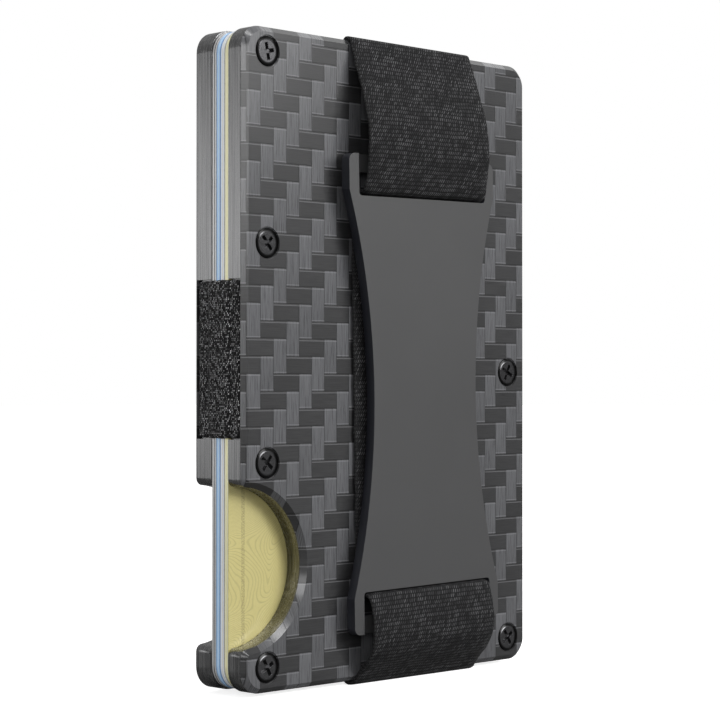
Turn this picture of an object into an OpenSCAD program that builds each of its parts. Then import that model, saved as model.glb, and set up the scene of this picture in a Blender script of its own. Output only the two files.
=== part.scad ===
/* [Plates] */
// Width of both faceplates and inner plates
plate_w = 55; // [54.6:0.1:60]
// Length of both faceplates and inner plates
plate_l = 86; // [86:0.5:92]
// Radius of the plates' outer corners
corner_r = 3; // [3:0.5:6]
// Thickness of each woven faceplate
face_t = 0.8; // [0.8:0.05:1]
// Bevel around each faceplate's outer edge and notch
face_bevel = 0.7; // [0.4:0.05:0.75]
// Thickness of the metal inner plate on the clip side
front_inner_t = 2.3; // [2.2:0.1:3]
// Thickness of the metal inner plate on the back
back_inner_t = 2.9; // [1.5:0.1:3]

/* [Thumb notch] */
// Radius of the thumb notch in the metal
notch_r = 10.4; // [8:0.2:12]
// Height of the notch centre above the middle of the wallet
notch_z = -26.8; // [-28:0.2:-24]
// Rounding where the notch meets the side
lip_r = 1; // [1:0.1:1.4]

/* [Cards] */
// Width of a standard card
card_w = 53.98; // [53.98:0.01:54.03]
// Length of a standard card
card_l = 85.6; // [85.47:0.01:85.72]
// Thickness of a standard card
card_t = 0.76; // [0.7:0.02:0.76]
// Corner radius of a standard card
card_r = 3.18; // [2.88:0.1:3.48]
// Space between the inner plates that the cards fill
card_space = 3.3; // [3.2:0.1:4]
// How far the cards are pushed towards the notch side
card_shift = 0.42; // [0:0.02:0.44]

/* [Screws] */
// Distance of the screw columns from the middle
screw_x = 23.5; // [23:0.1:24]
// Diameter of a screw head
head_d = 3.9; // [3.6:0.1:4]
// Diameter of a screw shank
shank_d = 1.94; // [1.6:0.02:1.96]
// Length of a screw
screw_l = 2.8; // [2:0.1:2.9]

/* [Elastic card band] */
// Width of the elastic that squeezes the cards
band_w = 20.4; // [16:0.2:22]
// Thickness of that elastic
band_t = 0.45; // [0.3:0.05:0.45]

/* [Cash strap] */
// Width of the elastic strap that holds the notes
strap_w = 23.4; // [20:0.2:23.4]
// Thickness of that strap
strap_t = 0.5; // [0.3:0.05:0.5]
// Sideways offset of the strap and the clip plate
strap_x = 3.6; // [2:0.1:4]

/* [Clip plate] */
// Length of the clip plate
clip_l = 64; // [62:0.5:64]
// Width of the clip plate at its ends
clip_w = 28.6; // [28:0.2:30]
// Width of the clip plate at its waist
waist_w = 20.2; // [18:0.2:24]
// Radius of the waist curve
waist_r = 90; // [80:5:110]
// Thickness of the clip plate
clip_t = 1.45; // [1:0.05:1.5]
// Gap between the front face and the clip plate
clip_gap = 1.15; // [1.1:0.05:1.3]
// Height of the clip plate's centre above the middle of the wallet
clip_z = -4.3; // [-4.5:0.1:-4.1]
// Lean of the clip plate on its elastic, in degrees
clip_lean = 1; // [0:0.25:1]

/* [Hidden] */
$fn = 96;
eps = 0.01;
half_w = plate_w / 2;
half_l = plate_l / 2;

// heights above the back face, with the wallet lying on its back
back_inner_z = face_t;
cards_z = back_inner_z + back_inner_t;
front_inner_z = cards_z + card_space;
front_face_z = front_inner_z + front_inner_t;
total_t = front_face_z + face_t;
card_gap = (card_space - 4 * card_t) / 5;

// screw places: four down the notch side, two on the other
SCREWS = [[-screw_x, 39.8], [-screw_x, 15], [-screw_x, -13.4],
          [-screw_x, -39.7], [screw_x, -1.5], [screw_x, -39.7]];
// turn of each cross recess, as the screws happened to stop
FRONT_TURNS = [12, 40, 52, 28, 64, 33];
BACK_TURNS = [25, 70, 8, 47, 15, 58];
BAND_SCREW = SCREWS[4];
head_rim = 0.12;
head_h = 0.68;
head_sunk = 0.04;
head_clear = 0.17;
cross_l = 2.3;
cross_w = 0.52;
cross_deep = 0.5;
thread_r = 1;
pass_r = 1.1;
band_hole_r = 1.4;

// elastic card band and its channels
fit = 0.05;
band_side = 0.5;
band_channel = band_t + 2 * fit;
band_room = band_w + 0.3;

// cash strap and its channel in the front inner plate
strap_channel_w = 25.8;
strap_channel = 1.45;
strap_depth = face_t + strap_channel - fit - strap_t / 2;
strap_steps = 6;
clip_corner = 1;
bar_t = 0.65;
slot_w = 25;
slot_h = 3.2;
slot_r = 0.5;
slot_pass = 0.62;
slot_in = 26.4;
slot_top = clip_z + slot_in;
slot_bottom = slot_in - clip_z;

CARDS = ["#d9dadd", "#5f93d6", "#c9cbce", "#d8cd7c"];

// ---- placing ----

// Stands the lying wallet up: its length to +Z, its front face to -Y
module stand() {
    rotate([90, 0, 0]) children();
}

// Turns a part of the front half over onto the back half
module on_back() {
    translate([0, 0, total_t]) mirror([0, 0, 1]) children();
}

// Places children at every screw
module at_screws() {
    for (s = SCREWS) translate([s[0], s[1], 0]) children();
}

// ---- shared shapes ----

module slab(w, l, r, t) {
    translate([-w / 2 + r, -l / 2, 0]) cube([w - 2 * r, l, t]);
    translate([-w / 2, -l / 2 + r, 0]) cube([w, l - 2 * r, t]);
    for (x = [-1, 1], y = [-1, 1])
        translate([x * (w / 2 - r), y * (l / 2 - r), 0]) cylinder(r = r, h = t);
}

module rounded_2d(w, l, r) {
    square([w - 2 * r, l], center = true);
    square([w, l - 2 * r], center = true);
    for (x = [-1, 1], y = [-1, 1])
        translate([x * (w / 2 - r), y * (l / 2 - r)]) circle(r);
}

module bevel_section(w, t, c) {
    polygon([[-w / 2, 0], [w / 2, 0], [w / 2, t - c],
             [w / 2 - c, t], [-w / 2 + c, t], [-w / 2, t - c]]);
}

module bevel_disc(r, t, c) {
    cylinder(r = r, h = t - c);
    translate([0, 0, t - c]) cylinder(r1 = r, r2 = r - c, h = c);
}

// A rounded slab with a bevel all round its upper edge
module bevelled_slab(w, l, r, t, c) {
    translate([-w / 2 + r, 0, 0]) rotate([90, 0, 90])
        linear_extrude(w - 2 * r) bevel_section(l, t, c);
    translate([0, l / 2 - r, 0]) rotate([90, 0, 0])
        linear_extrude(l - 2 * r) bevel_section(w, t, c);
    for (x = [-1, 1], y = [-1, 1])
        translate([x * (w / 2 - r), y * (l / 2 - r), 0]) bevel_disc(r, t, c);
}

// The thumb notch, with its rounded lips and, where c is above 0, a bevel
module notch(t, c) {
    lip_dy = sqrt(pow(notch_r + lip_r, 2) - pow(lip_r, 2));
    translate([-half_w, notch_z, -eps]) cylinder(r = notch_r, h = t + 2 * eps);
    if (c > 0)
        translate([-half_w, notch_z, t - c])
            cylinder(r1 = notch_r, r2 = notch_r + c + eps, h = c + eps);
    for (s = [-1, 1]) difference() {
        translate([-half_w, notch_z, -eps]) linear_extrude(t + 2 * eps)
            polygon([[0, 0], [-1, 0], [-1, s * lip_dy], [lip_r, s * lip_dy]]);
        translate([-half_w + lip_r, notch_z + s * lip_dy, -1]) {
            cylinder(r = lip_r, h = c > 0 ? t - c + 1 : t + 2);
            if (c > 0) translate([0, 0, t - c + 1]) cylinder(r1 = lip_r, r2 = 0, h = lip_r);
        }
    }
}

// ---- plates ----

module countersink() {
    translate([0, 0, -eps]) cylinder(r = pass_r, h = face_t);
    translate([0, 0, face_t - head_clear]) cylinder(d = head_d + 0.35, h = 1);
    translate([0, 0, face_t - head_clear - 0.6])
        cylinder(r1 = pass_r, r2 = head_d / 2 + 0.08, h = 0.6 + eps);
}

module faceplate() {
    difference() {
        bevelled_slab(plate_w, plate_l, corner_r, face_t, face_bevel);
        notch(face_t, face_bevel);
        at_screws() countersink();
    }
}

// A metal plate with the band's channel across its upper face and down its sides
module inner_plate(t) {
    difference() {
        slab(plate_w, plate_l, corner_r, t);
        notch(t, 0);
        at_screws() translate([0, 0, -1]) cylinder(r = thread_r, h = t + 2);
        translate([-half_w - 1, -band_room / 2, t - band_channel])
            cube([plate_w + 2, band_room, 1]);
        for (x = [-1, 1]) translate([x * half_w - band_side, -band_room / 2, -1])
            cube([2 * band_side, band_room, t + 2]);
    }
}

module front_faceplate() {
    color("#555658") stand() translate([0, 0, front_face_z]) faceplate();
}

module front_inner_plate() {
    color("#76777a") stand() translate([0, 0, front_inner_z]) difference() {
        inner_plate(front_inner_t);
        translate([strap_x - strap_channel_w / 2, -half_l - 1, front_inner_t - strap_channel])
            cube([strap_channel_w, plate_l + 2, strap_channel + 1]);
    }
}

module back_inner_plate() {
    color("#76777a") stand() on_back()
        translate([0, 0, total_t - cards_z]) inner_plate(back_inner_t);
}

module back_faceplate() {
    color("#555658") stand() on_back() translate([0, 0, front_face_z]) faceplate();
}

// ---- screws ----

module screw(turn) {
    difference() {
        union() {
            translate([0, 0, face_t - head_sunk - head_rim]) cylinder(d = head_d, h = head_rim);
            translate([0, 0, face_t - head_sunk - head_h])
                cylinder(d1 = shank_d, d2 = head_d - 0.06, h = head_h - head_rim);
            translate([0, 0, face_t - head_sunk - screw_l]) cylinder(d = shank_d, h = screw_l - 0.3);
        }
        for (a = [0, 90]) rotate(turn + a)
            translate([-cross_l / 2, -cross_w / 2, face_t - head_sunk - cross_deep])
                cube([cross_l, cross_w, 1]);
    }
}

module front_screw(i) {
    color("#1d1d1f") stand() translate([SCREWS[i][0], SCREWS[i][1], front_face_z])
        screw(FRONT_TURNS[i]);
}

module back_screw(i) {
    color("#1d1d1f") stand() on_back() translate([SCREWS[i][0], SCREWS[i][1], front_face_z])
        screw(BACK_TURNS[i]);
}

// ---- cards ----

// Card i, counted from the back
module card(i) {
    color(CARDS[i]) stand() translate([-card_shift, 0, cards_z + card_gap + i * (card_t + card_gap)])
        slab(card_w, card_l, card_r, card_t);
}

// ---- elastic ----

// The band's line, which bulges over the cards' edges on the notch side
module band_line(side, low, high, cut) {
    polygon([[-side + cut, low], [side - cut, low], [side, low + cut], [side, high - cut],
             [side - cut, high], [-side + cut, high], [-side, high - cut],
             [-side, front_inner_z + 0.7], [-side - card_shift, front_inner_z + 0.1],
             [-side - card_shift, cards_z - 0.1], [-side, cards_z - 0.7], [-side, low + cut]]);
}

// A closed loop round both inner plates, under both faceplates
module card_band() {
    low = face_t + fit;
    high = front_face_z - fit;
    side = half_w - band_side + fit;
    color("#1b1b1b") stand() difference() {
        translate([0, band_w / 2, 0]) rotate([90, 0, 0]) linear_extrude(band_w)
            difference() {
                band_line(side + band_t, low, high, 0.3);
                band_line(side, low + band_t, high - band_t, eps);
            }
        translate([BAND_SCREW[0], BAND_SCREW[1], -1]) cylinder(r = band_hole_r, h = total_t + 2);
    }
}

// Route of the strap over one end: [out from the front face, up from the middle].
// It rises out of the channel, hooks over the plate's edge, bows out, crosses the
// clip plate's end bar, drops through the slot and lies on the face.
function strap_end(slot, crown, fall) = [
    [-strap_depth, half_l - 3],
    [-strap_depth, half_l + 0.32],
    [-0.1, half_l + 0.32],
    [0.4, half_l - 1.05],
    [3.3, fall],
    [3.9, crown],
    [2.7, slot + 1.2],
    [1.9, slot + slot_pass],
    [0.9, slot + slot_pass],
    [0.32, slot - 0.5],
    [0.32, slot - 3]
];
function flip(route) = [for (i = [len(route) - 1 : -1 : 0]) [route[i][0], -route[i][1]]];
STRAP = concat(strap_end(slot_top, 29, 33.6), flip(strap_end(slot_bottom, 35.8, 39.2)));

// Smooth closed curve that each leg of the route touches at its middle
function curve(p) = [
    for (i = [0 : len(p) - 1], k = [0 : strap_steps - 1])
        let (a = p[i], b = p[(i + 1) % len(p)], c = p[(i + 2) % len(p)], t = k / strap_steps)
            (a + b) / 2 * pow(1 - t, 2) + b * 2 * t * (1 - t) + (b + c) / 2 * pow(t, 2)
];
function side_of(p, i, d) =
    let (along = p[(i + 1) % len(p)] - p[(i + len(p) - 1) % len(p)])
        p[i] + [along[1], -along[0]] * d / norm(along);
function beside(p, d) = [for (i = [0 : len(p) - 1]) side_of(p, i, d)];

module strap_loop(d) {
    line = beside(curve(STRAP), d);
    polygon([for (q = line) [q[1], q[0] + total_t]]);
}

module cash_strap() {
    color("#2c2c2c") stand() translate([strap_x - strap_w / 2, 0, 0]) rotate([90, 0, 90])
        linear_extrude(strap_w) difference() {
            strap_loop(-strap_t / 2);
            strap_loop(strap_t / 2);
        }
}

// ---- clip plate ----

module clip_outline() {
    difference() {
        rounded_2d(clip_w, clip_l, clip_corner);
        for (x = [-1, 1]) translate([x * (waist_w / 2 + waist_r), 0]) circle(waist_r, $fn = 360);
        for (y = [-1, 1]) translate([0, y * (slot_in + slot_h / 2)])
            rounded_2d(slot_w, slot_h, slot_r);
    }
}

// The end bars, which the strap passes over, are stepped down between the prongs
module clip_plate() {
    color("#58595c") stand() translate([strap_x, clip_z, total_t + clip_gap]) rotate(clip_lean)
        difference() {
            linear_extrude(clip_t) clip_outline();
            for (turn = [0, 180]) rotate(turn)
                translate([-slot_w / 2, slot_in + slot_h / 2, bar_t])
                    cube([slot_w, clip_l, clip_t]);
        }
}

front_faceplate();
front_inner_plate();
back_inner_plate();
back_faceplate();
card_band();
cash_strap();
clip_plate();
card(0);  // card_silver
card(1);  // card_blue
card(2);  // card_white
card(3);  // card_gold
front_screw(0);  // front_screw_1
front_screw(1);  // front_screw_2
front_screw(2);  // front_screw_3
front_screw(3);  // front_screw_4
front_screw(4);  // front_screw_5
front_screw(5);  // front_screw_6
back_screw(0);  // back_screw_1
back_screw(1);  // back_screw_2
back_screw(2);  // back_screw_3
back_screw(3);  // back_screw_4
back_screw(4);  // back_screw_5
back_screw(5);  // back_screw_6
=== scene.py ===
import math
import bpy
import bmesh
import mathutils
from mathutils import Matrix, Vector


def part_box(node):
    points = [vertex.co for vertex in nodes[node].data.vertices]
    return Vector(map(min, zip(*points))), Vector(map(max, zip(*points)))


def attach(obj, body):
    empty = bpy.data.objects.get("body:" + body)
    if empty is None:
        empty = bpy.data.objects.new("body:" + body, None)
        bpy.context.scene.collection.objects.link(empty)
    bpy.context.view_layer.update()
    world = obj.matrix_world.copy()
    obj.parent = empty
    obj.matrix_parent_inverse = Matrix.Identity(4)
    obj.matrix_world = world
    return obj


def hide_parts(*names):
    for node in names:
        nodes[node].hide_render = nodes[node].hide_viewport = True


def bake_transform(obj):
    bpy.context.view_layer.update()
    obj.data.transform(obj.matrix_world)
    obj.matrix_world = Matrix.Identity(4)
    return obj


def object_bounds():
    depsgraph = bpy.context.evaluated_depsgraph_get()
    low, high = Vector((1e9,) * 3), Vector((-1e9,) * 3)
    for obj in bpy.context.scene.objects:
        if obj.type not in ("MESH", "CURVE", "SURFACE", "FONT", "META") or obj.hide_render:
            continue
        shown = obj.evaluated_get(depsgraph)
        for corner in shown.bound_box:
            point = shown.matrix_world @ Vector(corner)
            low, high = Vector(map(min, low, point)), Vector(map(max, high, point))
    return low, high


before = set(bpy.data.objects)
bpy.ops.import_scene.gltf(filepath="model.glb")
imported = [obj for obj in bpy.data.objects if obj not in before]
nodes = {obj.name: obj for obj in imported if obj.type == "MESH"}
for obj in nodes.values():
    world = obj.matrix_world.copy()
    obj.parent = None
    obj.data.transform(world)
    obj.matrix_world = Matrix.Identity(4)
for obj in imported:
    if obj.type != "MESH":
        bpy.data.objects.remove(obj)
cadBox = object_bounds()
mm = 0.001

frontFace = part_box("front_faceplate")[0].y  # outer face of the front, most negative Y
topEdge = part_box("front_faceplate")[1].z
clipLow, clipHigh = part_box("clip_plate")
clipMiddle = (clipLow + clipHigh) / 2
print("frame loaded:", len(nodes), "nodes")

floatKind, vectorKind = "NodeSocketFloat", "NodeSocketVector"


# small helpers for shader trees

def put(tree, kind, **settings):
    node = tree.nodes.new(kind)
    for name, value in settings.items():
        setattr(node, name, value)
    return node


def feed(tree, socket, value):
    if isinstance(value, bpy.types.NodeSocket):
        tree.links.new(value, socket)
    elif value is not None:
        socket.default_value = value


def calc(tree, operation, a, b=None, c=None, clamp=False):
    node = put(tree, "ShaderNodeMath", operation=operation, use_clamp=clamp)
    for socket, value in zip(node.inputs, (a, b, c)):
        feed(tree, socket, value)
    return node.outputs[0]


def times(tree, first, *others):
    for other in others:
        first = calc(tree, "MULTIPLY", first, other)
    return first


def vectorCalc(tree, operation, a, b):
    node = put(tree, "ShaderNodeVectorMath", operation=operation)
    feed(tree, node.inputs[0], a)
    feed(tree, node.inputs[1], b)
    return node.outputs[0]


def split(tree, vector):
    node = put(tree, "ShaderNodeSeparateXYZ")
    feed(tree, node.inputs[0], vector)
    return node.outputs[0], node.outputs[1], node.outputs[2]


def join(tree, x=0.0, y=0.0, z=0.0):
    node = put(tree, "ShaderNodeCombineXYZ")
    for socket, value in zip(node.inputs, (x, y, z)):
        feed(tree, socket, value)
    return node.outputs[0]


def blendColors(tree, factor, a, b, mode="MIX"):
    node = put(tree, "ShaderNodeMix", data_type="RGBA", blend_type=mode)
    feed(tree, node.inputs[0], factor)
    feed(tree, node.inputs[6], a)
    feed(tree, node.inputs[7], b)
    return node.outputs[2]


def choose(tree, factor, a, b):
    node = put(tree, "ShaderNodeMix", data_type="FLOAT")
    feed(tree, node.inputs[0], factor)
    feed(tree, node.inputs[2], a)
    feed(tree, node.inputs[3], b)
    return node.outputs[0]


def dim(tree, color, level):
    return blendColors(tree, 1.0, color, join(tree, level, level, level), "MULTIPLY")


def remap(tree, value, low, high, newLow=0.0, newHigh=1.0, smooth=False):
    kind = "SMOOTHSTEP" if smooth else "LINEAR"
    node = put(tree, "ShaderNodeMapRange", interpolation_type=kind)
    for socket, given in zip(node.inputs, (value, low, high, newLow, newHigh)):
        feed(tree, socket, given)
    return node.outputs[0]


def noise(tree, vector, scale, detail=2.0, roughness=0.5):
    node = put(tree, "ShaderNodeTexNoise")
    feed(tree, node.inputs["Vector"], vector)
    feed(tree, node.inputs["Scale"], scale)
    node.inputs["Detail"].default_value = detail
    node.inputs["Roughness"].default_value = roughness
    return node.outputs["Fac"]


def cellTone(tree, x, y, z=0.0):
    node = put(tree, "ShaderNodeTexWhiteNoise", noise_dimensions="3D")
    feed(tree, node.inputs["Vector"], join(tree, x, y, z))
    return node.outputs["Value"]


def place(tree):
    return put(tree, "ShaderNodeTexCoord").outputs["Object"]


def newGroup(name, inputs, outputs):
    group = bpy.data.node_groups.new(name, "ShaderNodeTree")
    for label, kind, value in inputs:
        socket = group.interface.new_socket(label, in_out="INPUT", socket_type=kind)
        if value is not None:
            socket.default_value = value
    for label, kind in outputs:
        group.interface.new_socket(label, in_out="OUTPUT", socket_type=kind)
    return group, put(group, "NodeGroupInput").outputs, put(group, "NodeGroupOutput").inputs


def useGroup(tree, group, **values):
    node = put(tree, "ShaderNodeGroup", node_tree=group)
    for name, value in values.items():
        feed(tree, node.inputs[name], value)
    return node.outputs


def newMaterial(name, **fixed):
    material = bpy.data.materials.new(name)
    material.use_nodes = True
    tree = material.node_tree
    shader = tree.nodes["Principled BSDF"]
    for label, value in fixed.items():
        shader.inputs[label.replace("_", " ")].default_value = value
    return material, tree, shader


def addBump(tree, shader, height, strength, distance):
    node = put(tree, "ShaderNodeBump")
    node.inputs["Strength"].default_value = strength
    node.inputs["Distance"].default_value = distance
    feed(tree, node.inputs["Height"], height)
    feed(tree, shader.inputs["Normal"], node.outputs[0])


# surface effects, each a node group that is built once

def makeTwill():
    # 2/2 twill: upright tows float over two rows, cross tows over two columns,
    # and each column's floats sit one row higher than the last
    group, given, out = newGroup("twillWeave",
        [("Vector", vectorKind, None), ("Tow", floatKind, 2.28 * mm)],
        [("Upright", floatKind), ("Along", floatKind), ("Across", floatKind),
         ("Tone", floatKind), ("Height", floatKind)])
    endSoftness, sideSoftness = 0.035, 0.07  # of a float's length and of its width
    x, _, z = split(group, given["Vector"])
    column = calc(group, "DIVIDE", x, given["Tow"])
    row = calc(group, "DIVIDE", z, given["Tow"])
    i, j = calc(group, "FLOOR", column), calc(group, "FLOOR", row)
    fx, fz = calc(group, "FRACT", column), calc(group, "FRACT", row)
    k = calc(group, "FLOORED_MODULO", calc(group, "SUBTRACT", j, i), 4.0)
    k = calc(group, "ROUND", k)
    upright = calc(group, "LESS_THAN", k, 1.5)
    lower = calc(group, "SUBTRACT", 3.0, k)
    along = choose(group, upright, calc(group, "ADD", fx, lower), calc(group, "ADD", fz, k))
    along = calc(group, "MULTIPLY", along, 0.5)
    across = choose(group, upright, fz, fx)
    baseRow = choose(group, upright, j, calc(group, "SUBTRACT", j, k))
    baseColumn = choose(group, upright, calc(group, "SUBTRACT", i, lower), i)
    ends = remap(group, calc(group, "PINGPONG", along, 0.5), 0.0, endSoftness, smooth=True)
    sides = remap(group, calc(group, "PINGPONG", across, 0.5), 0.0, sideSoftness, smooth=True)
    feed(group, out["Upright"], upright)
    feed(group, out["Along"], along)
    feed(group, out["Across"], across)
    feed(group, out["Tone"], cellTone(group, baseColumn, baseRow, upright))
    feed(group, out["Height"], calc(group, "MULTIPLY", ends, sides))
    return group


def makeStreaks():
    # fine lines, long in one direction: brushed metal, filaments in a tow
    group, given, out = newGroup("fineStreaks",
        [("Vector", vectorKind, None), ("Scale", vectorKind, (9000, 9000, 120))],
        [("Streaks", floatKind), ("Drift", floatKind)])
    driftScale = 60.0
    fine = vectorCalc(group, "MULTIPLY", given["Vector"], given["Scale"])
    feed(group, out["Streaks"], noise(group, fine, 1.0, detail=3.0, roughness=0.6))
    feed(group, out["Drift"], noise(group, given["Vector"], driftScale, detail=1.0))
    return group


def makeGrain():
    # speckle and slow cloudiness of a coated or moulded surface
    group, given, out = newGroup("surfaceGrain",
        [("Vector", vectorKind, None), ("Scale", floatKind, 3000.0), ("Depth", floatKind, 0.1)],
        [("Tone", floatKind), ("Height", floatKind)])
    cloudScale = 0.015  # as a share of the grain's scale
    grain = noise(group, given["Vector"], given["Scale"], roughness=0.6)
    cloud = noise(group, given["Vector"], calc(group, "MULTIPLY", given["Scale"], cloudScale))
    swing = calc(group, "SUBTRACT", calc(group, "ADD", grain, cloud), 1.0)
    tone = calc(group, "MULTIPLY_ADD", swing, calc(group, "MULTIPLY", given["Depth"], 4.0), 1.0)
    feed(group, out["Tone"], tone)
    feed(group, out["Height"], grain)
    return group


def makeYarn():
    # rows of short slanted stitches, each with its own brightness
    group, given, out = newGroup("elasticYarn",
        [("Vector", vectorKind, None), ("Row", floatKind, 0.56 * mm), ("Stitch", floatKind, 0.4 * mm),
         ("Slant", floatKind, 0.35), ("Contrast", floatKind, 1.5)],
        [("Fleck", floatKind), ("Height", floatKind)])
    wanderScale = 260.0
    rowWander, stitchWander, rowOffset = 0.9, 1.8, 2.0  # in rows, stitches and stitches
    across, along, _ = split(group, given["Vector"])
    wander = calc(group, "SUBTRACT", noise(group, given["Vector"], wanderScale), 0.5)
    row = calc(group, "DIVIDE", along, given["Row"])
    row = calc(group, "MULTIPLY_ADD", wander, rowWander, row)
    j, fy = calc(group, "FLOOR", row), calc(group, "FRACT", row)
    column = calc(group, "DIVIDE", across, given["Stitch"])
    column = calc(group, "MULTIPLY_ADD", fy, given["Slant"], column)
    column = calc(group, "MULTIPLY_ADD", cellTone(group, j, 0.5, 0.5), rowOffset, column)
    column = calc(group, "MULTIPLY_ADD", wander, stitchWander, column)
    i, fx = calc(group, "FLOOR", column), calc(group, "FRACT", column)
    body = remap(group, calc(group, "PINGPONG", fx, 0.5), 0.18, 0.46, smooth=True)
    ends = calc(group, "MULTIPLY", remap(group, fy, 0.0, 0.3, smooth=True),
                remap(group, fy, 1.0, 0.72, smooth=True))
    tone = calc(group, "POWER", cellTone(group, i, j, 0.0), given["Contrast"])
    stitch = calc(group, "MULTIPLY", body, ends)
    feed(group, out["Fleck"], calc(group, "MULTIPLY", stitch, tone))
    feed(group, out["Height"], stitch)
    return group


def makePanel():
    # soft-edged rectangle on a card's face, for stripes, panels and contacts
    group, given, out = newGroup("cardPanel",
        [("Vector", vectorKind, None), ("Center", vectorKind, None), ("Half", vectorKind, None),
         ("Corner", floatKind, 1.0 * mm)], [("Mask", floatKind)])
    softness = 0.04 * mm
    corner = given["Corner"]
    x, _, z = split(group, vectorCalc(group, "SUBTRACT", given["Vector"], given["Center"]))
    halfX, _, halfZ = split(group, given["Half"])
    overX = calc(group, "SUBTRACT", calc(group, "ABSOLUTE", x), calc(group, "SUBTRACT", halfX, corner))
    overZ = calc(group, "SUBTRACT", calc(group, "ABSOLUTE", z), calc(group, "SUBTRACT", halfZ, corner))
    outX, outZ = calc(group, "MAXIMUM", overX, 0.0), calc(group, "MAXIMUM", overZ, 0.0)
    far = calc(group, "SQRT", calc(group, "ADD", times(group, outX, outX), times(group, outZ, outZ)))
    edge = calc(group, "DIVIDE", calc(group, "SUBTRACT", corner, far), softness)
    feed(group, out["Mask"], calc(group, "ADD", edge, 0.5, clamp=True))
    return group


twill = makeTwill()
fineStreaks = makeStreaks()
surfaceGrain = makeGrain()
elasticYarn = makeYarn()
cardPanel = makePanel()

faceLook = {
    "tow": 2.28 * mm,
    "shift": (1.93 * mm, 0.0, 8.73 * mm),  # where a tow's corner falls on the plate
    # painted reflection: the upright tows get a lighter colour than the cross tows, in place of their
    # different sheen
    "upright": (0.081, 0.082, 0.087, 1),
    "cross": (0.021, 0.021, 0.022, 1),
    "roughness": 0.32,
    "crossRougher": 0.12,
    "resin": {"Coat_Weight": 0.45, "Coat_Roughness": 0.16, "Specular_IOR_Level": 0.3},
    "filaments": (9000, 260),       # scale across a tow and along it
    "filamentShade": (0.74, 1.26),
    "towShade": (0.88, 1.12),       # from one tow to another
    "paintedAlongShade": (0.92, 1.08),     # painted shade, from one end of a float to the other
    "paintedGapShade": 0.35,               # painted shade in the dips between tows
    # painted highlight on the ends and sides of the tows
    "paintedHighlight": (0.20, 0.20, 0.21, 1),
    "uprightHighlight": (0.045, 0.013),  # place and half width, as shares of a float's length
    "crossHighlight": (0.91, 0.022),     # the same, of a tow's width
    "highlightStrength": 0.42,
    "bump": 0.05 * mm,
}


def wovenFace(name, look):
    material, tree, shader = newMaterial(name, **look["resin"])
    fine, long = look["filaments"]
    spot = vectorCalc(tree, "ADD", place(tree), look["shift"])
    weave = useGroup(tree, twill, Vector=spot, Tow=look["tow"])
    up = useGroup(tree, fineStreaks, Vector=spot, Scale=(fine, 0, long))
    over = useGroup(tree, fineStreaks, Vector=spot, Scale=(long, 0, fine))
    streaks = choose(tree, weave["Upright"], over["Streaks"], up["Streaks"])
    # the lighter colour of the upright tows is painted reflection
    base = blendColors(tree, weave["Upright"], look["cross"], look["upright"])
    shade = times(tree, remap(tree, streaks, 0.32, 0.68, *look["filamentShade"]),
                  remap(tree, weave["Tone"], 0, 1, *look["towShade"]),
                  remap(tree, weave["Along"], 0, 1, *look["paintedAlongShade"]),
                  remap(tree, weave["Height"], 0, 0.6, look["paintedGapShade"], 1.0))
    color = dim(tree, base, shade)
    # painted highlight: a bright line just inside the ends of upright tows, and along one side of cross tows
    tip = calc(tree, "COMPARE", calc(tree, "PINGPONG", weave["Along"], 0.5), *look["uprightHighlight"])
    edge = calc(tree, "COMPARE", weave["Across"], *look["crossHighlight"])
    line = calc(tree, "MULTIPLY", choose(tree, weave["Upright"], edge, tip), look["highlightStrength"])
    color = blendColors(tree, line, color, look["paintedHighlight"])
    feed(tree, shader.inputs["Base Color"], color)
    shine = remap(tree, streaks, 0.3, 0.7, look["roughness"] - 0.09, look["roughness"] + 0.05)
    crossShine = calc(tree, "ADD", shine, look["crossRougher"])
    feed(tree, shader.inputs["Roughness"], choose(tree, weave["Upright"], crossShine, shine))
    height = calc(tree, "MULTIPLY_ADD", streaks, 0.15, weave["Height"])
    addBump(tree, shader, height, 0.35, look["bump"])
    return material


metalLook = {
    "color": (0.185, 0.185, 0.187, 1),
    "roughness": 0.24,
    "brushing": (4500, 4500, 60),   # fine across the plate, long up it
    "streakShade": (0.6, 1.4),
    "driftShade": (0.94, 1.06),
    "bump": 0.02 * mm,
}


def gunmetal(name, look):
    material, tree, shader = newMaterial(name, Metallic=1.0)
    brushed = useGroup(tree, fineStreaks, Vector=place(tree), Scale=look["brushing"])
    shade = times(tree, remap(tree, brushed["Streaks"], 0.3, 0.7, *look["streakShade"]),
                  remap(tree, brushed["Drift"], 0.3, 0.7, *look["driftShade"]))
    feed(tree, shader.inputs["Base Color"], dim(tree, look["color"], shade))
    rough = look["roughness"]
    feed(tree, shader.inputs["Roughness"],
         remap(tree, brushed["Streaks"], 0.3, 0.7, rough - 0.06, rough + 0.08))
    addBump(tree, shader, brushed["Streaks"], 0.12, look["bump"])
    return material


paintLook = {
    "color": (0.040, 0.040, 0.041, 1),
    "side": (0.011, 0.012, 0.017, 1),  # painted shade: the side walls are darker
    "roughness": 0.48,
    "grain": 5200,
    "depth": 0.06,
    "bump": 0.02 * mm,
}


def coated(name, look):
    material, tree, shader = newMaterial(name)
    grain = useGroup(tree, surfaceGrain, Vector=place(tree), Scale=look["grain"], Depth=look["depth"])
    # painted shade: faces not turned to the front or back get the darker side colour
    _, y, _ = split(tree, put(tree, "ShaderNodeTexCoord").outputs["Normal"])
    flat = remap(tree, calc(tree, "ABSOLUTE", y), 0.3, 0.8)
    color = blendColors(tree, flat, look["side"], look["color"])
    feed(tree, shader.inputs["Base Color"], dim(tree, color, grain["Tone"]))
    rough = look["roughness"]
    feed(tree, shader.inputs["Roughness"], remap(tree, grain["Height"], 0.3, 0.7, rough - 0.05, rough + 0.05))
    addBump(tree, shader, grain["Height"], 0.1, look["bump"])
    return material


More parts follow.
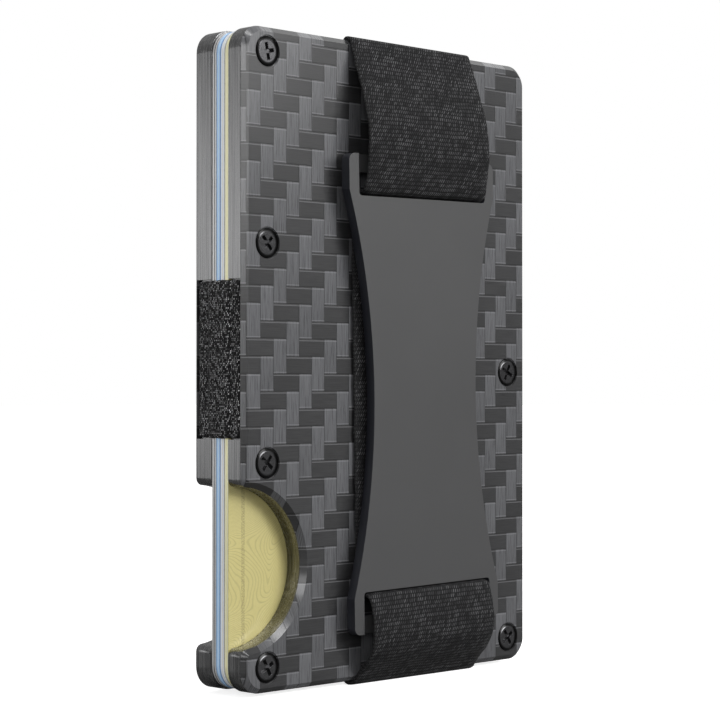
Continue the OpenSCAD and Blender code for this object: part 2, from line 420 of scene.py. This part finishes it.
screwLook = {
    "color": (0.075, 0.075, 0.078, 1),
    # painted shade: the dark colour of the head's rounded rim
    "paintedRimShade": (0.008, 0.008, 0.008, 1),
    "rimShadeStart": (0.40, 0.425),  # distances from the middle, as shares of the head's width
    "domeStart": 0.37,
    "roughness": 0.2,
    "grain": 2600,
    "turning": 60.0,            # scale of the turned rings
    "bump": 0.3 * mm,
}


def screwFinish(name, look):
    # turned head with a rounded rim, which is darkened as painted shade
    material, tree, shader = newMaterial(name, Metallic=0.85)
    x, _, z = split(tree, put(tree, "ShaderNodeTexCoord").outputs["Generated"])
    x, z = calc(tree, "SUBTRACT", x, 0.5), calc(tree, "SUBTRACT", z, 0.5)
    reach = calc(tree, "SQRT", calc(tree, "ADD", times(tree, x, x), times(tree, z, z)))
    turned = noise(tree, join(tree, calc(tree, "MULTIPLY", reach, look["turning"])), 1.0)
    grain = useGroup(tree, surfaceGrain, Vector=place(tree), Scale=look["grain"], Depth=0.1)
    # painted shade round the rim of the head
    paintedRimShade = remap(tree, reach, *look["rimShadeStart"], smooth=True)
    color = dim(tree, look["color"], times(tree, grain["Tone"], remap(tree, turned, 0.3, 0.7, 0.88, 1.12)))
    feed(tree, shader.inputs["Base Color"], blendColors(tree, paintedRimShade, color, look["paintedRimShade"]))
    rough = look["roughness"]
    feed(tree, shader.inputs["Roughness"], remap(tree, turned, 0.3, 0.7, rough - 0.05, rough + 0.08))
    dome = remap(tree, reach, look["domeStart"], 0.5, 1.0, 0.0)
    addBump(tree, shader, calc(tree, "MULTIPLY_ADD", turned, 0.02, dome), 0.8, look["bump"])
    return material


strapYarn = {
    "ground": (0.0085, 0.0085, 0.009, 1),
    "yarn": (0.088, 0.088, 0.091, 1),
    "row": 0.56 * mm,
    "stitch": 0.37 * mm,
    "slant": 1.0,
    "contrast": 1.1,
    "patch": 0.5,
    "bump": 0.03 * mm,
}
bandYarn = {
    "ground": (0.010, 0.010, 0.0105, 1),
    "yarn": (0.95, 0.95, 0.97, 1),
    "row": 0.23 * mm,
    "stitch": 0.21 * mm,
    "slant": 0.1,
    "contrast": 2.6,
    "patch": 0.15,
    "bump": 0.08 * mm,
}


def yarnCloth(name, look):
    material, tree, shader = newMaterial(name, Sheen_Weight=0.03, Sheen_Roughness=0.4,
                                         Specular_IOR_Level=0.12)
    spot = put(tree, "ShaderNodeAttribute", attribute_name="clothPlace").outputs["Vector"]
    stitches = useGroup(tree, elasticYarn, Vector=spot, Row=look["row"], Stitch=look["stitch"],
                        Slant=look["slant"], Contrast=look["contrast"])
    patchScale = 420.0
    patch = remap(tree, noise(tree, spot, patchScale, detail=3.0), 0.35, 0.65,
                  1 - look["patch"], 1 + look["patch"])
    fleck = calc(tree, "MULTIPLY", stitches["Fleck"], patch)
    ground = dim(tree, look["ground"], remap(tree, stitches["Height"], 0, 1, 0.8, 1.15))
    feed(tree, shader.inputs["Base Color"], blendColors(tree, fleck, ground, look["yarn"]))
    feed(tree, shader.inputs["Roughness"], remap(tree, stitches["Height"], 0, 1, 0.85, 0.62))
    addBump(tree, shader, stitches["Height"], 0.7, look["bump"])
    return material


cardLooks = {
    "card_silver": {"face": (0.60, 0.61, 0.63, 1), "edge": (0.66, 0.66, 0.66, 1),
                    "middleBand": (0.03, 0.03, 0.03, 1), "metallic": 0.2, "roughness": 0.28, "line": False},
    "card_blue": {"face": (0.12, 0.31, 0.72, 1), "edge": (0.43, 0.67, 0.97, 1),
                  "middleBand": (0.56, 0.76, 0.98, 1), "metallic": 0.0, "roughness": 0.3, "line": False},
    "card_white": {"face": (0.62, 0.63, 0.65, 1), "edge": (0.86, 0.93, 1.0, 1),
                   "middleBand": (0.74, 0.71, 0.66, 1), "metallic": 0.0, "roughness": 0.3, "line": False},
    "card_gold": {"face": (0.50, 0.445, 0.185, 1), "edge": (0.92, 0.90, 0.64, 1),
                  "middleBand": (0.86, 0.80, 0.42, 1), "metallic": 0.15, "roughness": 0.36, "line": True},
}
cardPrint = {
    "chip": (9.0 * mm, 0, 22.5 * mm),       # middle of the contact chip on the front
    "chipHalf": (4.6 * mm, 0, 5.8 * mm),
    "chipGap": 0.12 * mm,
    "chipColor": (0.72, 0.56, 0.27, 1),
    "chipGapColor": (0.12, 0.09, 0.05, 1),
    "stripe": (17.5 * mm, 0, 0),            # magnetic stripe on the back, along the card
    "stripeHalf": (6.3 * mm, 0, 60 * mm),
    "stripeColor": (0.018, 0.016, 0.015, 1),
    "line": (-24.9 * mm, 0, 0),             # fine border line on the front
    "lineHalf": (0.30 * mm, 0, 39 * mm),
    "lineColor": (0.16, 0.13, 0.05, 1),
    "ringCells": 82,                        # scale of the guilloche's cells, each with its own rings
    "ringPitch": 0.17 * mm,
    "engraving": 0.84,                      # how dark the rings are
    "middleBand": (0.45, 0.11),                   # middle and half depth of the middle band, as shares of the thickness
    "paintedContactShadow": 0.35,                      # painted shadow at the edges where two cards meet
}


def cardSurface(name, look):
    # each card: an engraved front, contacts on it, a stripe on the back, and a band of another colour through
    # the middle of its edge, painted highlight on the blue card and painted shade on the white
    material, tree, shader = newMaterial(name, Metallic=look["metallic"], Coat_Weight=0.3,
                                         Coat_Roughness=0.12)
    low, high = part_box(name)
    skin = 0.05 * mm
    spot = place(tree)
    x, y, z = split(tree, spot)
    front = calc(tree, "LESS_THAN", y, low.y + skin)
    back = calc(tree, "GREATER_THAN", y, high.y - skin)
    grain = useGroup(tree, surfaceGrain, Vector=spot, Scale=2400, Depth=0.03)

    cells = put(tree, "ShaderNodeTexVoronoi", feature="SMOOTH_F1", voronoi_dimensions="3D")
    feed(tree, cells.inputs["Vector"], join(tree, x, z, 0.0))
    cells.inputs["Scale"].default_value = cardPrint["ringCells"]
    cells.inputs["Smoothness"].default_value = 0.35
    reach = calc(tree, "MULTIPLY_ADD", noise(tree, spot, 160, detail=1), 0.14, cells.outputs["Distance"])
    turns = math.tau / (cardPrint["ringCells"] * cardPrint["ringPitch"])
    rings = calc(tree, "SINE", calc(tree, "MULTIPLY", reach, turns))
    engraved = times(tree, remap(tree, rings, 0.35, 0.95, smooth=True), front)
    faces = calc(tree, "ADD", front, back)
    depth = remap(tree, y, low.y, high.y)
    # the middle band: a painted highlight on the blue card, painted shade on the white card
    middleBand = calc(tree, "COMPARE", depth, *cardPrint["middleBand"])
    side = blendColors(tree, middleBand, look["edge"], look["middleBand"])
    color = dim(tree, blendColors(tree, faces, side, look["face"]), grain["Tone"])
    color = dim(tree, color, remap(tree, engraved, 0, 1, 1.0, cardPrint["engraving"]))
    # painted shadow along the edges where two cards meet, and a painted highlight through the middle of each
    # edge
    paintedEdgeShade = calc(tree, "PINGPONG", depth, 0.5)
    paintedEdgeShade = remap(tree, paintedEdgeShade, 0.02, 0.22, cardPrint["paintedContactShadow"], 1.1, smooth=True)
    color = dim(tree, color, choose(tree, faces, paintedEdgeShade, 1.0))

    stripe = useGroup(tree, cardPanel, Vector=spot, Center=join(tree, cardPrint["stripe"][0], y, 0),
                      Half=cardPrint["stripeHalf"], Corner=0.05 * mm)["Mask"]
    color = blendColors(tree, times(tree, stripe, back), color, cardPrint["stripeColor"])
    if look["line"]:
        line = useGroup(tree, cardPanel, Vector=spot, Center=join(tree, cardPrint["line"][0], y, 0),
                        Half=cardPrint["lineHalf"], Corner=0.05 * mm)["Mask"]
        ticks = remap(tree, noise(tree, join(tree, x, 0, z), 5200, detail=1), 0.4, 0.6, 0.05, 0.5)
        color = blendColors(tree, times(tree, line, front, ticks), color, cardPrint["lineColor"])

    chipX, _, chipZ = cardPrint["chip"]
    halfX, _, halfZ = cardPrint["chipHalf"]
    chip = useGroup(tree, cardPanel, Vector=spot, Center=join(tree, chipX, y, chipZ),
                    Half=cardPrint["chipHalf"], Corner=1.2 * mm)["Mask"]
    pads = put(tree, "ShaderNodeTexBrick", offset=0.0)
    pads.inputs["Scale"].default_value = 1.0
    pads.inputs["Mortar Size"].default_value = cardPrint["chipGap"]
    pads.inputs["Brick Width"].default_value = halfX
    pads.inputs["Row Height"].default_value = halfZ / 2
    feed(tree, pads.inputs["Vector"], join(tree, calc(tree, "SUBTRACT", x, chipX - halfX),
                                           calc(tree, "SUBTRACT", z, chipZ - halfZ)))
    contact = blendColors(tree, pads.outputs["Fac"], cardPrint["chipColor"], cardPrint["chipGapColor"])
    chipHere = times(tree, chip, front)
    color = blendColors(tree, chipHere, color, contact)
    feed(tree, shader.inputs["Base Color"], color)
    feed(tree, shader.inputs["Metallic"], choose(tree, chipHere, look["metallic"], 0.9))
    rough = look["roughness"]
    feed(tree, shader.inputs["Roughness"], remap(tree, engraved, 0, 1, rough, rough + 0.12))
    height = calc(tree, "SUBTRACT", times(tree, grain["Height"], 0.12), engraved)
    addBump(tree, shader, height, 0.35, 0.03 * mm)
    return material


def paintNode(name, material):
    nodes[name].data.materials.clear()
    nodes[name].data.materials.append(material)


woven = wovenFace("wovenFace", faceLook)
metal = gunmetal("brushedGunmetal", metalLook)
for name in ("front_faceplate", "back_faceplate"):
    paintNode(name, woven)
for name in ("front_inner_plate", "back_inner_plate"):
    paintNode(name, metal)
paintNode("clip_plate", coated("clipPaint", paintLook))
screwBlack = screwFinish("screwBlack", screwLook)
for name in nodes:
    if "screw" in name:
        paintNode(name, screwBlack)
for name, look in cardLooks.items():
    paintNode(name, cardSurface(name, look))
print("hard parts painted")


edgeRounding = {
    "front_inner_plate": 0.14 * mm,
    "back_inner_plate": 0.14 * mm,
    "clip_plate": 0.2 * mm,
    "card_silver": 0.26 * mm,
    "card_blue": 0.26 * mm,
    "card_white": 0.26 * mm,
    "card_gold": 0.2 * mm,
}
screwRounding = 0.07 * mm


def roundEdges(node, width, segments=2):
    weld = node.modifiers.new("joinFaces", "WELD")
    weld.merge_threshold = 1e-6
    bevel = node.modifiers.new("roundEdges", "BEVEL")
    bevel.width = width
    bevel.segments = segments
    bevel.limit_method = "ANGLE"
    bevel.angle_limit = math.radians(28)  # the facets of round parts stay as they are
    bevel.harden_normals = True


for name, width in edgeRounding.items():
    roundEdges(nodes[name], width, 3 if "card" in name else 2)
for name, node in nodes.items():
    if "screw" in name:
        roundEdges(node, screwRounding)
print("edges rounded")


def clothPiece(name, rings, closed, material):
    # a solid of elastic from rings of points around its section; an open one gets flat ends
    count, size = len(rings), len(rings[0])
    faces = []
    for r in range(count if closed else count - 1):
        a, b = r * size, (r + 1) % count * size
        faces += [(a + c, a + (c + 1) % size, b + (c + 1) % size, b + c) for c in range(size)]
    sides = len(faces)
    if not closed:
        faces.append(tuple(reversed(range(size))))
        faces.append(tuple((count - 1) * size + c for c in range(size)))
    mesh = bpy.data.meshes.new(name)
    mesh.from_pydata([point for ring in rings for point in ring], [], faces)
    mesh.polygons.foreach_set("use_smooth", [i < sides for i in range(len(faces))])
    mesh.materials.append(material)
    piece = bpy.data.objects.new(name, mesh)
    bpy.context.scene.collection.objects.link(piece)
    return piece


def markCloth(piece, spots):
    # where each vertex lies on its cloth, so that the knit goes along as the piece bends
    onCloth = piece.data.attributes.new("clothPlace", "FLOAT_VECTOR", "POINT")
    onCloth.data.foreach_set("vector", [value for spot in spots for value in spot])


def acrossSection(half, thick, columns):
    # (across, face) around a strap's section: outer face, edge, inner face, edge
    inset = half - thick
    outer = [(inset * (2 * c / columns - 1), 1) for c in range(columns + 1)]
    return outer + [(half, 0)] + [(-across, -1) for across, face in outer] + [(-half, 0)]


def smoothLoop(route, steps):
    # closed quadratic curve that touches each leg of the route at its middle
    line = []
    for i, a in enumerate(route):
        b, c = route[(i + 1) % len(route)], route[(i + 2) % len(route)]
        for k in range(steps):
            t = k / steps
            line.append((a + b) / 2 * (1 - t) ** 2 + b * 2 * t * (1 - t) + (b + c) / 2 * t * t)
    return line


class Track:
    # a closed line that is walked by distance
    def __init__(self, points):
        self.points = points + [points[0]]
        self.reach = [0.0]
        for a, b in zip(self.points, self.points[1:]):
            self.reach.append(self.reach[-1] + (b - a).length)
        self.length = self.reach[-1]

    def at(self, distance):
        distance = min(max(distance, 0.0), self.length)
        low, high = 0, len(self.reach) - 2
        while low < high:
            middle = (low + high + 1) // 2
            if self.reach[middle] <= distance:
                low = middle
            else:
                high = middle - 1
        a, b = self.points[low], self.points[low + 1]
        gap = self.reach[low + 1] - self.reach[low]
        return a.lerp(b, (distance - self.reach[low]) / gap if gap else 0.0)

    def side(self, distance, step=0.1 * mm):
        along = self.at(distance + step) - self.at(distance - step)
        return Vector((along.y, -along.x)).normalized()


strapLook = {
    "width": 24.0 * mm,
    "thickness": 0.5 * mm,
    "middle": 3.8 * mm,         # sideways place of its middle
    "lean": 1.0,                # degrees, with the clip plate
    "leanEase": 0.25,           # how much of the lean is lost towards the ends
    "turnedTo": 34 * mm,        # up to this height its rows turn with the clip plate,
    "squareFrom": 42 * mm,      # and from here they lie square to the plates
    "channel": 1.95 * mm,       # depth of its run in the channel, behind the front face
    "freeFrom": 0.25 * mm,      # distance out of the face where it leans in full
    "ribDepth": 0.02 * mm,
    "edgeWave": 0.05 * mm,
    "edgeWaveLengths": (0.9 * mm, 0.37 * mm),
    "columns": 18,
    "stepsPerRow": 4,
    "hiddenStepsPerRow": 0.6,
    "bendSteps": 24,
    "seam": 12 * mm,            # height of the joint between its two outer parts
    "upperEnd": {"slot": 22.1, "crown": 29.0, "fall": 33.6},  # heights in mm above the middle
    "lowerEnd": {"slot": 30.7, "crown": 35.8, "fall": 39.2},  # and below it
    "topBend": (42.5 * mm, 26 * mm),  # a pair of heights for the top and bottom pieces
    "bottomBend": (-42.5 * mm, -34 * mm),
}


def strapEnd(slot, crown, fall):
    # half the strap's route in mm: how far out from the front face, and how far up. It goes up the
    # channel, over the plates' edge, out to its crown, in through the clip's slot and under the clip
    edge, channel = topEdge / mm, -strapLook["channel"] / mm
    over, through, under = edge + 0.32, slot + 0.42, 0.32
    legs = [(channel, edge - 3), (channel, over), (-0.1, over), (0.4, edge - 1.05),
            (3.3, fall), (3.9, crown), (3.05, slot + 0.95), (2.2, through),
            (0.9, through), (under, slot - 0.5), (under, slot - 3)]
    return [Vector(leg) * mm for leg in legs]


upperRoute = strapEnd(**strapLook["upperEnd"])
lowerRoute = [Vector((p.x, -p.y)) for p in reversed(strapEnd(**strapLook["lowerEnd"]))]
strapTrack = Track(smoothLoop(upperRoute + lowerRoute, strapLook["bendSteps"]))


def share(value, start, end):
    # 0 at the start, 1 at the end, and no more or less beyond them
    return min(max((value - start) / (end - start), 0.0), 1.0)


def strapSection(along, look, fine):
    spot, out = strapTrack.at(along), strapTrack.side(along)
    rib = math.sin(math.pi * along / strapYarn["row"]) ** 2 * look["ribDepth"] if fine else 0.0
    slow, fast = look["edgeWaveLengths"]
    wave = math.sin(along / slow) + 0.6 * math.sin(along / fast + 1.3)
    half = look["width"] / 2 + (wave * look["edgeWave"] if fine else 0.0)
    rise = (spot.y - clipMiddle.z) / topEdge
    outside = share(spot.x, -look["channel"], look["freeFrom"])  # the run in the channel is straight
    slope = math.tan(math.radians(look["lean"])) * outside
    lean = slope * topEdge * rise * (1 - look["leanEase"] * rise * rise)
    level = slope * share(abs(spot.y), look["squareFrom"], look["turnedTo"])
    thick = look["thickness"] / 2
    ring, onCloth = [], []
    for across, face in acrossSection(half, thick, look["columns"]):
        middle = spot + out * face * (thick + rib)
        ring.append((look["middle"] - lean + across, frontFace - middle.x, middle.y + across * level))
        onCloth.append((across + face * 0.3, along, face))
    return ring, onCloth


def strapPiece(name, start, end, fine=True):
    look = strapLook
    density = look["stepsPerRow"] if fine else look["hiddenStepsPerRow"]
    steps = round((end - start) / strapYarn["row"] * density)
    made = [strapSection(start + (end - start) * r / steps, look, fine) for r in range(steps + 1)]
    piece = clothPiece(name, [ring for ring, onCloth in made], False, strapCloth)
    markCloth(piece, [spot for ring, onCloth in made for spot in onCloth])
    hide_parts("cash_strap")
    return piece


def strapDistance(start, test):
    # how far along the track the test first holds
    while not test(strapTrack.at(start)):
        start += 0.05 * mm
    return start


strapCloth = yarnCloth("strapCloth", strapYarn)
seam = strapDistance(0.0, lambda p: p.y < strapLook["seam"])
tuckedIn = strapDistance(seam, lambda p: p.x < 0.05 * mm - strapLook["channel"])
strapTop = strapPiece("strapTop", 0.0, seam)
strapBottom = strapPiece("strapBottom", seam, tuckedIn)
strapInner = strapPiece("strapInner", tuckedIn, strapTrack.length, fine=False)
for piece, ends in ((strapTop, strapLook["topBend"]), (strapBottom, strapLook["bottomBend"])):
    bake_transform(piece)
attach(strapInner, "front")
print("strap made,", round(strapTrack.length / mm, 1), "mm round")


bandLook = {
    "thickness": 0.45 * mm,
    "corner": 0.5 * mm,
    "step": 0.25 * mm,
    "columns": 34,
    "cornerSteps": 6,
    "swellSteps": 12,
    "overlap": 0.55 * mm,      # how far past the cards it begins to swell out over them
    "steepness": 1.35,         # of the swell: above 1 it rises fast and stays flat over the cards
    "knit": 0.03 * mm,         # unevenness of the knit
    "knitScale": 1800,
    "edgeWave": 0.09 * mm,
    "edgeScales": (900, 2500),
    "rowTurn": 0.35,           # keeps its rows even round the corners
    "screwHole": 1.35 * mm,    # radius
}


def bandRoute(low, high, look):
    # rounded rectangle round the plates' channels, seen from the top
    thick = look["thickness"] / 2
    x, near, far, r = high.x - thick, low.y + thick, high.y - thick, look["corner"]
    bulge = -high.x - low.x
    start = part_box("card_silver")[1].y + look["overlap"]
    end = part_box("card_gold")[0].y - look["overlap"]
    corners = ((x - r, far - r, 0), (-x + r, far - r, 90), (-x + r, near + r, 180), (x - r, near + r, 270))
    points = []
    for cx, cy, turn in corners:
        for k in range(look["cornerSteps"] + 1):
            angle = math.radians(turn + 90 * k / look["cornerSteps"])
            points.append(Vector((cx + r * math.cos(angle), cy + r * math.sin(angle))))
        if turn == 90:
            # over the cards' edges on the notch side
            for k in range(look["swellSteps"] + 1):
                t = k / look["swellSteps"]
                swell = min(look["steepness"] * math.sqrt(max(math.sin(math.pi * t), 0.0)), 1.0)
                points.append(Vector((-x - bulge * swell, start + (end - start) * t)))
    return Track(points)


def uneven(x, y, z, scale):
    return mathutils.noise.noise(Vector((x, y, z)) * scale)


def makeBand(look):
    low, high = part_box("card_band")
    track = bandRoute(low, high, look)
    steps = round(track.length / look["step"])
    slow, fast = look["edgeScales"]
    rings = []
    for s in range(steps):
        along = track.length * s / steps
        spot, out = track.at(along), track.side(along)
        wave = uneven(spot.x, spot.y, 0, slow) + 0.6 * uneven(spot.x, spot.y, 1, fast)
        half = high.z + look["edgeWave"] * wave
        ring = []
        for across, face in acrossSection(half, look["thickness"] / 2, look["columns"]):
            knit = uneven(spot.x, spot.y, across, look["knitScale"]) * look["knit"]
            middle = spot + out * (face * look["thickness"] / 2 + knit * (face == 1))
            ring.append((middle.x, middle.y, across))
        rings.append(ring)
    band = clothPiece("cardBand", rings, True, yarnCloth("bandCloth", bandYarn))
    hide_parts("card_band")
    return band


def pierce(piece, middle, radius, length):
    # round hole through a piece, from front to back
    cutter = bpy.data.meshes.new("cutter")
    shape = bmesh.new()
    bmesh.ops.create_cone(shape, cap_ends=True, segments=48, radius1=radius, radius2=radius, depth=length)
    shape.to_mesh(cutter)
    shape.free()
    tool = bpy.data.objects.new("cutter", cutter)
    bpy.context.scene.collection.objects.link(tool)
    tool.rotation_euler.x = math.radians(90)
    tool.location = middle
    cut = piece.modifiers.new("hole", "BOOLEAN")
    cut.object, cut.operation, cut.solver = tool, "DIFFERENCE", "EXACT"
    bpy.context.view_layer.update()
    final = bpy.data.meshes.new_from_object(piece.evaluated_get(bpy.context.evaluated_depsgraph_get()))
    piece.modifiers.clear()
    piece.data = final
    bpy.data.objects.remove(tool)


cardBand = makeBand(bandLook)
screwLow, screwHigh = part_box("front_screw_5")  # this screw passes through the band
screwMiddle = (screwLow + screwHigh) / 2
pierce(cardBand, (screwMiddle.x, frontFace / 2, screwMiddle.z), bandLook["screwHole"], -2 * frontFace)
bandPoints = [vertex.co for vertex in cardBand.data.vertices]
markCloth(cardBand, [(p.y + bandLook["rowTurn"] * p.x, p.z, 0.0) for p in bandPoints])
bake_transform(cardBand)
print("card band made")


floorLook = {
    "pale": (0.8, 0.8, 0.8, 1),
    "hidden": (0.16, 0.16, 0.16, 1),
    "glow": 0.8,
    "roughness": 0.7,
    "size": 3.0,  # from the middle to each side
}


def makeFloor(look):
    mesh = bpy.data.meshes.new("floor")
    grid = bmesh.new()
    bmesh.ops.create_grid(grid, x_segments=1, y_segments=1, size=look["size"])
    grid.to_mesh(mesh)
    grid.free()
    floor = bpy.data.objects.new("floor", mesh)
    bpy.context.scene.collection.objects.link(floor)
    floor.location.z = cadBox[0].z
    material, tree, shader = newMaterial("paleFloor", Roughness=look["roughness"])
    # pale where it is seen, dark to the surfaces above it, as with black card under a product
    seen = put(tree, "ShaderNodeLightPath").outputs["Is Camera Ray"]
    feed(tree, shader.inputs["Base Color"], blendColors(tree, seen, look["hidden"], look["pale"]))
    shader.inputs["Emission Color"].default_value = (1, 1, 1, 1)
    feed(tree, shader.inputs["Emission Strength"], calc(tree, "MULTIPLY", seen, look["glow"]))
    mesh.materials.append(material)


def areaLight(name, spot, size, power):
    data = bpy.data.lights.new(name, "AREA")
    data.shape = "RECTANGLE"
    data.size, data.size_y = size
    data.energy = power
    light = bpy.data.objects.new(name, data)
    bpy.context.scene.collection.objects.link(light)
    light.location = spot
    light.rotation_mode = "QUATERNION"
    light.rotation_quaternion = (-Vector(spot)).to_track_quat("-Z", "Y")


cameraView = {
    "lens": 105.68,
    "azimuth": -44.987,
    "elevation": -0.669,
    "location": (-0.20762, -0.21116, -0.00329),
}


def makeCamera(view):
    data = bpy.data.cameras.new("camera")
    data.lens = view["lens"]
    data.sensor_width = 36
    data.clip_start, data.clip_end = 0.01, 20
    camera = bpy.data.objects.new("camera", data)
    bpy.context.scene.collection.objects.link(camera)
    turn, rise = math.radians(view["azimuth"]), math.radians(view["elevation"])
    back = Vector((math.sin(turn) * math.cos(rise), -math.cos(turn) * math.cos(rise), math.sin(rise)))
    camera.location = view["location"]
    camera.rotation_mode = "QUATERNION"
    camera.rotation_quaternion = (-back).to_track_quat("-Z", "Y")
    bpy.context.scene.camera = camera


studio = {"seen": 1.0, "above": 0.5, "level": 0.30, "below": 0.28}  # strength of the backdrop


def makeWorld(look):
    # the backdrop is white; what the surfaces mirror is a soft grey sweep, lightest above
    world = bpy.data.worlds.new("studio")
    bpy.context.scene.world = world
    world.use_nodes = True
    tree = world.node_tree
    background = tree.nodes["Background"]
    _, _, z = split(tree, put(tree, "ShaderNodeTexCoord").outputs["Generated"])
    upper = remap(tree, z, 0.1, 0.9, look["level"], look["above"], smooth=True)
    lower = remap(tree, z, -0.5, 0.0, look["below"], look["level"])
    sweep = choose(tree, calc(tree, "GREATER_THAN", z, 0.0), lower, upper)
    seen = put(tree, "ShaderNodeLightPath").outputs["Is Camera Ray"]
    background.inputs["Color"].default_value = (1, 1, 1, 1)
    feed(tree, background.inputs["Strength"], choose(tree, seen, sweep, look["seen"]))


# spot, (width, height) and power of each soft box
softBoxes = {
    "overhead": ((-0.10, -0.42, 0.76), (0.3, 0.25), 2.4),
    "front": ((0.30, -0.85, 0.45), (0.5, 0.5), 6.9),
    "upperLeftGleam": ((0.48, -0.82, 0.34), (0.4, 0.4), 1.8),
    "upperRight": ((0.65, 0.05, 0.65), (0.4, 0.4), 0.6),
    "cameraSide": ((-0.75, -0.7, 0.25), (0.36, 0.36), 2.6),
    "behindLeft": ((-0.6, 0.55, -0.12), (0.6, 0.55), 1.5),
}

makeFloor(floorLook)
makeWorld(studio)
for name, (spot, size, power) in softBoxes.items():
    areaLight(name, spot, size, power)
makeCamera(cameraView)
bpy.context.scene.view_settings.view_transform = "Standard"
print("stage, lights and camera made")
